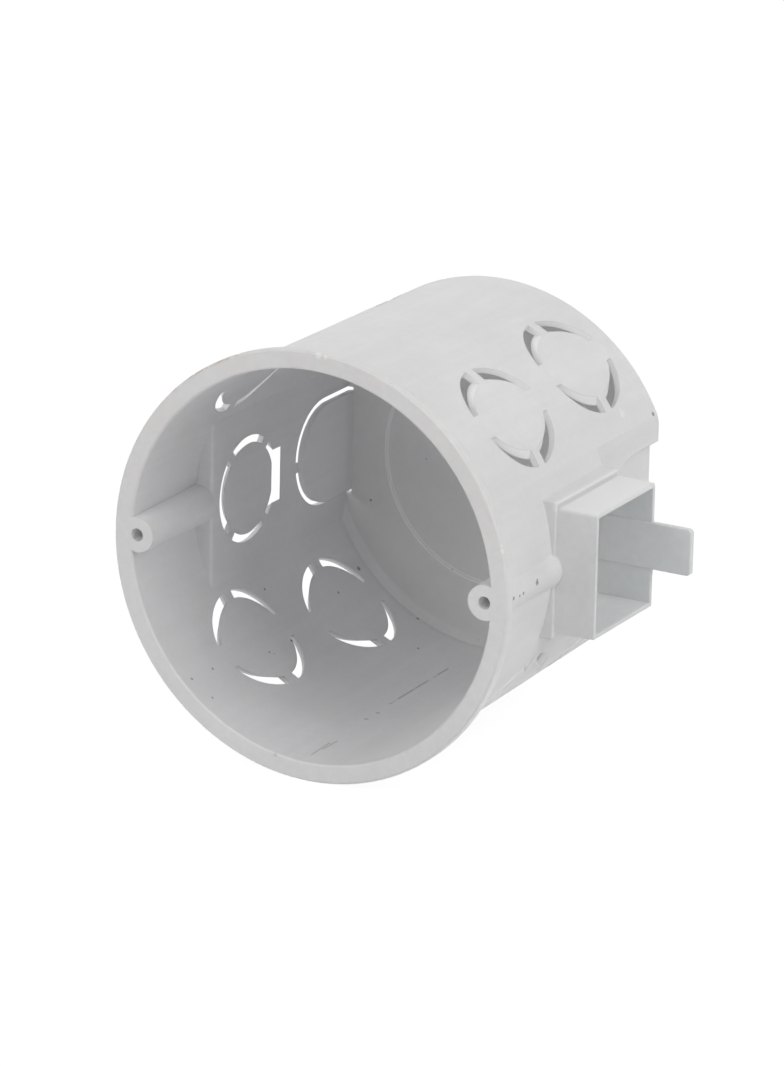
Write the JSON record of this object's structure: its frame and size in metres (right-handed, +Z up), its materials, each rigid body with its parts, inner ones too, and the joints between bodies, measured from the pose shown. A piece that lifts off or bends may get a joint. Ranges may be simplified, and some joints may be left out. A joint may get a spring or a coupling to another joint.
{
  "type": "flush mounting box",
  "caption": "Round moulded wall box for a switch or socket: a deep cup with a flanged rim, two screw posts, wall knock-outs and a coupling socket with a tongue",
  "frame": {"origin": "centre of the mouth, on the front face of the rim, midway between the two screw posts", "axes": "+X towards the coupling socket, +Y into the wall, +Z up"},
  "size_m": [0.0795, 0.0607, 0.068],
  "materials": {
    "white_plastic": "satin moulded, slightly dirty from handling"
  },
  "bodies": {
    "root": {"mounting_box": "white_plastic"}
  },
  "joints": []
}
